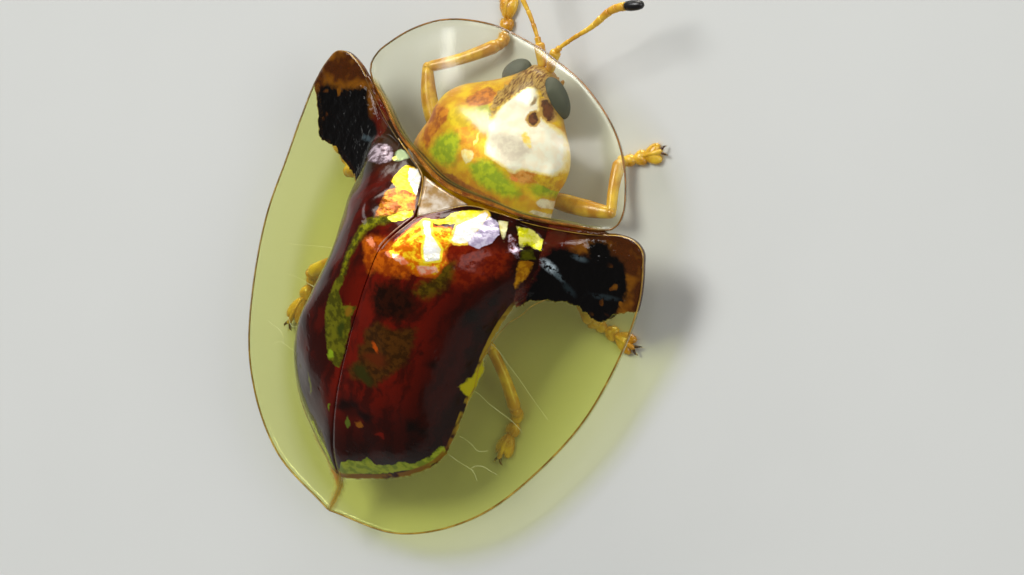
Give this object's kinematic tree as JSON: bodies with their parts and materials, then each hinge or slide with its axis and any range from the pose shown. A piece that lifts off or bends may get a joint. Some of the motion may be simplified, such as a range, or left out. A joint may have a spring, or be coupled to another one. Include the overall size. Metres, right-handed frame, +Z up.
{
  "type": "tortoise beetle",
  "caption": "Life-size tortoise beetle standing: domed wing cases with a wide clear margin, a round clear shield over the head, long feelers and legs on broad feet.",
  "frame": {"origin": "middle of the base on the floor that the feet stand on, below the centre of the box round the beetle", "axes": "+Y the way the beetle faces, +X its right side, +Z up"},
  "size_m": [0.0106, 0.0142, 0.0041],
  "materials": {
    "shield_chitin": "clear glossy chitin with a thin dark amber rim, gold and green where the body shows through",
    "scutellum_chitin": "glossy pale gold chitin",
    "wing_case_chitin": "deep glossy maroon disc with metallic gold flashes, black shoulder patches and a clear yellow-green margin",
    "body_chitin": "satin amber chitin",
    "head_chitin": "silver-gold chitin with brown spots",
    "eye_facets": "dark grey, finely faceted",
    "feeler_chitin": "amber chitin with near-black tips",
    "leg_chitin": "glossy amber-yellow chitin, soft hairs on the feet"
  },
  "bodies": {
    "root": {"pronotum": "shield_chitin", "scutellum": "scutellum_chitin", "elytron_left": "wing_case_chitin", "elytron_right": "wing_case_chitin", "abdomen": "body_chitin", "hind_thorax": "body_chitin", "prothorax": "body_chitin", "head": "head_chitin", "eye_left": "eye_facets", "eye_right": "eye_facets", "antenna_left": "feeler_chitin", "antenna_right": "feeler_chitin", "leg_front_left": "leg_chitin", "leg_front_right": "leg_chitin", "leg_middle_left": "leg_chitin", "leg_middle_right": "leg_chitin", "leg_hind_left": "leg_chitin", "leg_hind_right": "leg_chitin"}
  },
  "joints": []
}
